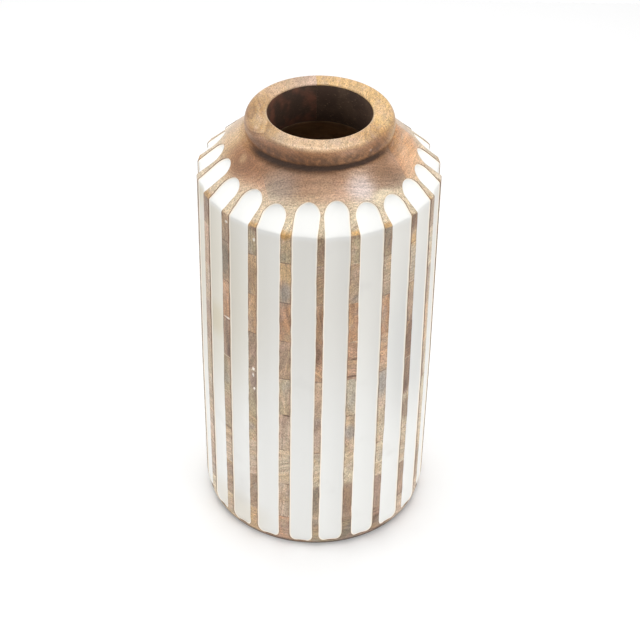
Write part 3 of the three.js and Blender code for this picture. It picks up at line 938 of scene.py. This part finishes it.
def sawn_part(body, low, high, joints):
    """What lies of the body between two heights and on the kept side of each joint."""
    deselect_all()
    middle, size = (low + high) / 2 * MM, (SAW_WIDTH * MM, SAW_WIDTH * MM, (high - low) * MM)
    bpy.ops.mesh.primitive_cube_add(size=1, location=(0, 0, middle), scale=size)
    saw = bpy.context.object
    bpy.ops.object.transform_apply(location=True, rotation=False, scale=True)
    bpy.ops.object.mode_set(mode="EDIT")
    for point, keep in joints:
        bpy.ops.mesh.select_all(action="SELECT")
        bpy.ops.mesh.bisect(plane_co=point, plane_no=keep, use_fill=True, clear_inner=True)
    bpy.ops.object.mode_set(mode="OBJECT")
    saw.data.materials.append(rib_wood)
    part = copy_of(body, "part")
    cut(part, saw, "INTERSECT")
    bpy.data.objects.remove(saw)
    return part


def tree_place(point, direction):
    """A matrix to the place in the tree: x runs along the heart, which passes a point."""
    turn = Vector(direction).rotation_difference(Vector((1, 0, 0))).to_matrix().to_4x4()
    return turn @ Matrix.Translation(-Vector(point))


def board_for(azimuth, height, grain):
    """A board for a block of a body course: its heart lies some centimetres from the block."""
    ways = {"out": outward(azimuth), "up": UP, "round": rightward(azimuth)}
    along = ways.pop(grain)
    sides = list(ways.values())
    point = spot(azimuth, BODY_RADIUS, height)
    point += sides[0] * workshop.uniform(20, 90) * workshop.choice((-1, 1))
    point += sides[1] * workshop.uniform(-60, 60) + along * workshop.uniform(-400, 400)
    tilt = Vector([workshop.uniform(-0.12, 0.12) for _ in range(3)])
    return tree_place(point, along + tilt)


def tone_among(stops, azimuth):
    """The tone at an azimuth, between the two nearest of some (azimuth, tone)."""
    tone = stops[0][1]
    for (start, first), (end, second) in zip(stops, stops[1:]):
        if azimuth >= start:
            part = min(1, (azimuth - start) / (end - start))
            part = part * part * (3 - 2 * part)
            tone = [a * (1 - part) + b * part for a, b in zip(first, second)]
    return tone


def azimuth_of(point, near):
    """The azimuth of a point, on the turn that lies nearest to an azimuth."""
    azimuth = math.degrees(math.atan2(point.x, -point.y))
    return azimuth + 360 * round((near - azimuth) / 360)


flute_finder = near_finder(
    [point for index in range(FLUTES) for point in edge_points(index, lambda row: sagitta(row, 1))]
)


def season(piece, near, board_at, tone_at):
    """Writes on each point its place in the tree, its tone, and its distance from a flute."""
    places, tones, borders = [], [], []
    for vertex in piece.data.vertices:
        point = vertex.co / MM
        azimuth = azimuth_of(point, near)
        places.extend(board_at(point) @ point)
        tones.extend(tone_at(point, azimuth))
        borders.append(flute_finder.find(vertex.co)[2] / MM)
    write(piece, "timber", places, "FLOAT_VECTOR", "vector")
    write(piece, "tone", tones, "FLOAT_COLOR", "color")
    write(piece, "border", borders)


body = turn_body()
carve_flutes(body)

base_board = tree_place((120, -60, -40), (1, 0.05, 0.04))
base_tones = [(-180, OLIVE_TAN), (-62, CREAM_SAP), (-35, HONEY), (-15, RUST_TAN), (5, OLIVE_TAN)]
base_tones += [(20, GREY_BROWN), (36, HEART_BROWN), (50, SAND), (180, BROWN_TAN)]
for side, keep in (("left", Vector((-1, 0, 0))), ("right", Vector((1, 0, 0)))):
    edge = Vector((-BASE_JOINT, 0, 0)) * MM + keep * HALF_GAP * MM
    plank = sawn_part(body, -SAW_CLEAR, BASE_COURSE - HALF_GAP, [(edge, keep)])
    season(plank, 0, lambda p: base_board, lambda p, azimuth: tone_among(base_tones, azimuth))
    finish(plank, f"vase_base_{side}", f"base_plank_{side}")

# Blocks that the front shows, by course and block: the tones of their two ends and their grain.
FRONT_BLOCKS = {
    (1, 3): (SAND, BROWN_TAN, "round"),
    (1, 4): (SAND, BROWN_TAN, "up"),
    (2, 3): (SAND, CREAM_SAP, "out"),
    (2, 4): (CREAM_SAP, SAND, "out"),
    (3, 2): (SAND, OLIVE_TAN, "round"),
    (3, 3): (SAND, CREAM_SAP, "up"),
    (4, 1): (OLIVE_TAN, OLIVE_TAN, "round"),
    (4, 2): (OLIVE_TAN, CREAM_SAP, "up"),
    (4, 3): (SAND, BROWN_TAN, "up"),
    (5, 1): (MAUVE_BROWN, BROWN_TAN, "up"),
    (5, 2): (RUST_TAN, PALE_ORANGE, "round"),
    (6, 1): (COPPER_TAN, COPPER_TAN, "up"),
    (6, 2): (BROWN_TAN, RUST_TAN, "up"),
    (6, 4): (SAND, SAND, "up"),
    (7, 1): (BROWN_TAN, CREAM_SAP, "out"),
    (7, 4): (ROSE_TAN, HONEY, "up"),
    (8, 1): (BROWN_TAN, OLIVE_TAN, "up"),
    (8, 3): (BROWN_TAN, BROWN_TAN, "up"),
    (8, 4): (OLIVE_TAN, OLIVE_TAN, "up"),
}
END_GRAIN = 12  # degrees from a block's ends to where its own tones begin to change
PLAIN_TONES = [SAND, HONEY, ROSE_TAN, RUST_TAN, OLIVE_TAN, BROWN_TAN, MAUVE_BROWN]

for course in range(1, BODY_COURSES + 1):
    low = BASE_COURSE + (course - 1) * COURSE_HEIGHT + HALF_GAP
    high = BASE_COURSE + course * COURSE_HEIGHT - HALF_GAP
    joints = [flute_azimuth(course * COURSE_STAGGER + number) for number in JOINT_FLUTES]
    for block, (start, end) in enumerate(zip(joints, joints[1:]), 1):
        piece = sawn_part(body, low, high, [after(start), before(end)])
        unseen = (*workshop.sample(PLAIN_TONES, 2), workshop.choice(("round", "up", "out")))
        first, second, grain = FRONT_BLOCKS.get((course, block), unseen)
        middle = (start + end) / 2
        board = board_for(middle, (low + high) / 2, grain)
        stops = [(start + END_GRAIN, first), (end - END_GRAIN, second)]
        season(piece, middle, lambda p: board, lambda p, azimuth: tone_among(stops, azimuth))
        node = f"course_{course}_block_{block}"
        finish(piece, "vase_" + node, node)

# The top course. Its shoulder was glued up from chords, and its rim from pieces of one board.
SHOULDER_BAND = (TOP_COURSE_FOOT + HALF_GAP, RIM_SPLIT)
RIM_BAND = (RIM_SPLIT, TOTAL_HEIGHT + SAW_CLEAR)
front = [after(SHOULDER_LEFT), before(SHOULDER_RIGHT)]
top_parts = {
    1: [
        (*SHOULDER_BAND, [*front, within(*LEFT_CHORD), within(*RIGHT_CHORD)]),
        (*RIM_BAND, [after(RIM_LEFT), before(RIM_RIGHT)]),
    ],
    2: [
        (*SHOULDER_BAND, [after(SHOULDER_RIGHT), before(SIDE_JOINT)]),
        (*SHOULDER_BAND, [*front, beyond(*RIGHT_CHORD)]),
        (*RIM_BAND, [after(RIM_RIGHT), before(SIDE_JOINT)]),
    ],
    3: [
        (*SHOULDER_BAND, [after(SIDE_JOINT), before(BACK_JOINT)]),
        (*RIM_BAND, [after(SIDE_JOINT), before(BACK_JOINT)]),
    ],
    4: [
        (*SHOULDER_BAND, [after(BACK_JOINT), before(SHOULDER_LEFT)]),
        (*SHOULDER_BAND, [*front, beyond(*LEFT_CHORD)]),
        (*RIM_BAND, [after(BACK_JOINT), before(RIM_LEFT + 360)]),
    ],
}
rim_board = tree_place((-6, 200, 262), (0.06, 1, 0.03))
rim_tones = [
    (-176, srgb("#C2A592")),
    (-160, srgb("#C4A68C")),
    (-130, srgb("#BF9E78")),
    (-90, srgb("#AE8550")),
    (-60, srgb("#B08A58")),
    (-25, srgb("#CFB08C")),
    (18, srgb("#CDAC88")),
    (33, srgb("#C4A27A")),
    (46, srgb("#B78F5B")),
    (60, srgb("#C0955D")),
    (74, srgb("#D1AC72")),
    (184, srgb("#CFA974")),
]
# The left block is cut through a branch, whose rings show round its heart.
BRANCH = (-61, 53.3)  # azimuth and radius
shoulder_boards = {
    1: tree_place((0, -279, 71), (1, 0.08, 0.12)),
    2: tree_place((40, 300, 330), (0.3, 1, 0)),
    3: tree_place((160, -50, 330), (0.7, 0.7, 0)),
    4: tree_place(on_shoulder(*BRANCH), spot(BRANCH[0], 0.68, 0.73)),
}
shoulder_tones = {
    1: [(-60, BROWN_TAN), (-25, BROWN_TAN), (8, RUST_TAN), (28, SAND), (55, BROWN_TAN)],
    2: [(40, srgb("#C4824F")), (70, srgb("#D0955E")), (110, srgb("#C99A72"))],
    3: [(100, SAND), (180, HONEY)],
    4: [(-176, ROSE_TAN), (-120, SAND), (-80, HONEY), (-40, RUST_TAN)],
}
middles = {1: 5, 2: 78, 3: 140, 4: -113}  # azimuths
for number, parts in top_parts.items():
    pieces = [sawn_part(body, low, high, joints) for low, high, joints in parts]
    whole = pieces[0]
    for other in pieces[1:]:
        cut(whole, other, "UNION")
        bpy.data.objects.remove(other)
    for place, material in enumerate(whole.data.materials):
        if material == rib_wood:
            whole.data.materials[place] = rim_wood
    lower_board, lower_tones = shoulder_boards[number], shoulder_tones[number]
    season(
        whole,
        middles[number],
        lambda p: rim_board if p.z > RIM_SPLIT else lower_board,
        lambda p, azimuth: tone_among(rim_tones if p.z > RIM_SPLIT else lower_tones, azimuth),
    )
    finish(whole, f"vase_rim_{number}", f"rim_block_{number}")
bpy.data.objects.remove(body)

# The enamel
first_strip = slab("strip", ENAMEL_COLUMNS, crowding=1.7)
first_strip.data.materials.append(enamel)
for index in range(FLUTES):
    fill_with_enamel(copy_of(first_strip, "strip"), index)
bpy.data.objects.remove(first_strip)


# Floor, light and camera, in metres

CAMERA_PLACE = (0, -0.97878, 0.88585)
CAMERA_PITCH, CAMERA_YAW, CAMERA_ROLL = 0.6529, 0.0023, 0.018
CAMERA_LENS = 103.25
CAMERA_SENSOR = 36
VASE_MIDDLE = UP * TOTAL_HEIGHT / 2 * MM
PAPER_WIDTH = 1.15
PAPER_MIDDLE = (0, 0.15, -0.0002)  # just clear of the foot


def white_to_camera(add):
    """1 for what the camera sees, straight or in a reflection, and 0 for what lights the vase."""
    seen = add("LightPath", output="Is Camera Ray")
    for kind in ("Is Glossy Ray", "Is Transmission Ray"):
        path = add("LightPath", output=kind)
        seen = add("Math", {0: seen, 1: path}, operation="MAXIMUM")
    return seen


def studio_world(strength):
    world = bpy.data.worlds.new("studio")
    world.use_nodes = True
    world.node_tree.nodes.clear()
    add = partial(add_node, world.node_tree)
    light = add("MapRange", {0: white_to_camera(add), 3: strength, 4: 1})
    background = add("Background", {0: (1, 1, 1, 1), 1: light})
    add("OutputWorld", {0: background})
    bpy.context.scene.world = world


def studio_floor(lift):
    """A sheet of white paper, which lights the vase from below and most at its foot. A glow that
    the camera alone sees lifts the paper to white round the shadow."""
    deselect_all()
    bpy.ops.mesh.primitive_plane_add(size=PAPER_WIDTH, location=PAPER_MIDDLE)
    floor = bpy.context.object
    floor.name = "floor"
    material, add, shader = new_material("white paper")
    connect(shader, {"Base Color": srgb("#F3F3F3"), "Roughness": 0.9, "Specular IOR Level": 0})
    glow = add("Math", {0: white_to_camera(add), 1: lift}, operation="MULTIPLY")
    connect(shader, {"Emission Color": (1, 1, 1, 1), "Emission Strength": glow})
    floor.data.materials.append(material)


def soft_lamp(name, place, size, power):
    lamp = bpy.data.lights.new(name, "AREA")
    lamp.shape = "SQUARE"
    lamp.size = size
    lamp.energy = power
    holder = bpy.data.objects.new(name, lamp)
    bpy.context.scene.collection.objects.link(holder)
    holder.location = place
    holder.rotation_euler = (VASE_MIDDLE - Vector(place)).to_track_quat("-Z", "Y").to_euler()


studio_world(strength=0.2)
studio_floor(lift=0.1)
soft_lamp("overhead softbox", (0, 0.25, 1.7), size=1.3, power=24)
soft_lamp("right softbox", (1.5, -0.1, 0.6), size=0.9, power=3.5)
soft_lamp("left softbox", (-1.5, -0.1, 0.6), size=0.9, power=8)
soft_lamp("front right softbox", (1.15, -1.15, 0.6), size=0.9, power=12)
soft_lamp("front left softbox", (-1.15, -1.15, 0.6), size=0.9, power=6)

level = math.cos(CAMERA_PITCH)
level_x, level_y = math.sin(CAMERA_YAW) * level, math.cos(CAMERA_YAW) * level
ahead = Vector((level_x, level_y, -math.sin(CAMERA_PITCH)))
right = ahead.cross(UP).normalized()
up = right.cross(ahead)
rolled_right = right * math.cos(CAMERA_ROLL) + up * math.sin(CAMERA_ROLL)
rolled_up = up * math.cos(CAMERA_ROLL) - right * math.sin(CAMERA_ROLL)
camera = bpy.data.objects.new("camera", bpy.data.cameras.new("camera"))
bpy.context.scene.collection.objects.link(camera)
camera.data.sensor_width = CAMERA_SENSOR
camera.data.lens = CAMERA_LENS
axes = Matrix((rolled_right, rolled_up, -ahead)).transposed()
camera.matrix_world = Matrix.Translation(CAMERA_PLACE) @ axes.to_4x4()
bpy.context.scene.camera = camera
bpy.context.scene.view_settings.view_transform = "Standard"
